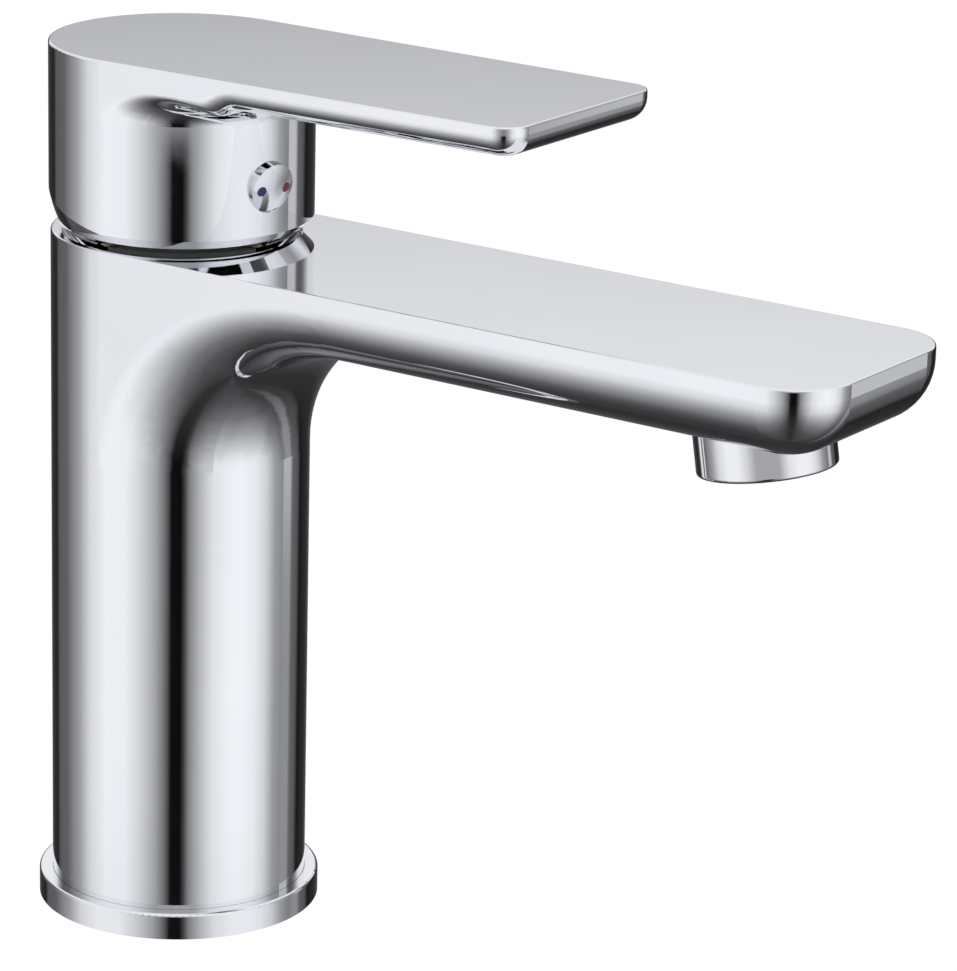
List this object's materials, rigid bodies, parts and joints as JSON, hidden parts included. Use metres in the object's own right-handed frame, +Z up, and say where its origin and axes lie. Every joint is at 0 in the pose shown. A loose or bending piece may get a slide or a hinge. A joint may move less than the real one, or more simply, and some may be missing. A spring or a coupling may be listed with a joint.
{
  "type": "bathroom mixer faucet",
  "caption": "Single-lever chrome basin mixer tap with a round column, a flat projecting spout, a tilted aerator and a flat top lever.",
  "frame": {"origin": "centre of the underside of the base ring, where the faucet stands on the basin", "axes": "+X along the spout towards the outlet, +Z up, +Y to the left seen from behind the faucet along the spout"},
  "size_m": [0.1688, 0.0508, 0.158],
  "materials": {
    "chrome_body": "polished",
    "chrome_handle": "polished",
    "chrome_trim": "polished",
    "chrome_plastic": "polished",
    "brass_nut": "satin",
    "steel": "satin",
    "black_rubber": "matte",
    "cartridge_plastic": "satin",
    "rotor_plastic": "satin",
    "alumina_ceramic": "polished",
    "aerator_plastic": "satin",
    "red_mark": "gloss",
    "blue_mark": "gloss"
  },
  "bodies": {
    "fixed": {"faucet_body": "chrome_body", "base_ring": "chrome_trim", "base_gasket": "black_rubber", "cold_inlet_seal": "black_rubber", "hot_inlet_seal": "black_rubber", "cartridge_base": "cartridge_plastic", "fixed_disc": "alumina_ceramic", "cartridge_housing": "cartridge_plastic", "outlet_seal": "black_rubber", "cartridge_nut": "brass_nut", "trim_ring": "chrome_trim", "trim_ring_seal": "black_rubber", "aerator_housing": "chrome_trim", "aerator_washer": "black_rubber", "aerator_core": "aerator_plastic", "flow_restrictor": "aerator_plastic", "aerator_screen": "steel"},
    "rotor": {"rotor": "rotor_plastic", "pivot_pin": "steel"},
    "lever": {"stem": "steel", "handle": "chrome_handle", "grub_screw": "steel", "index_button": "chrome_plastic", "cold_mark": "blue_mark", "hot_mark": "red_mark"},
    "disc": {"disc_carrier": "rotor_plastic", "moving_disc": "alumina_ceramic", "disc_seal": "black_rubber"}
  },
  "joints": [
    {"name": "temperature_turn", "type": "hinge", "parent": "fixed", "child": "rotor", "pos_m": [0, 0, 0.1365], "axis": [0, 0, 1], "range_deg": [-45, 45]},
    {"name": "flow_lift", "type": "hinge", "parent": "rotor", "child": "lever", "pos_m": [0, 0, 0.1365], "axis": [0, -1, 0], "range_deg": [0, 18]},
    {"name": "disc_slide", "type": "slide", "parent": "rotor", "child": "disc", "axis": [1, 0, 0], "range_m": [0, 0.0056]}
  ],
  "couplings": [
    {"joint": "disc_slide", "follows": "flow_lift", "m_per_rad": 0.017229}
  ]
}
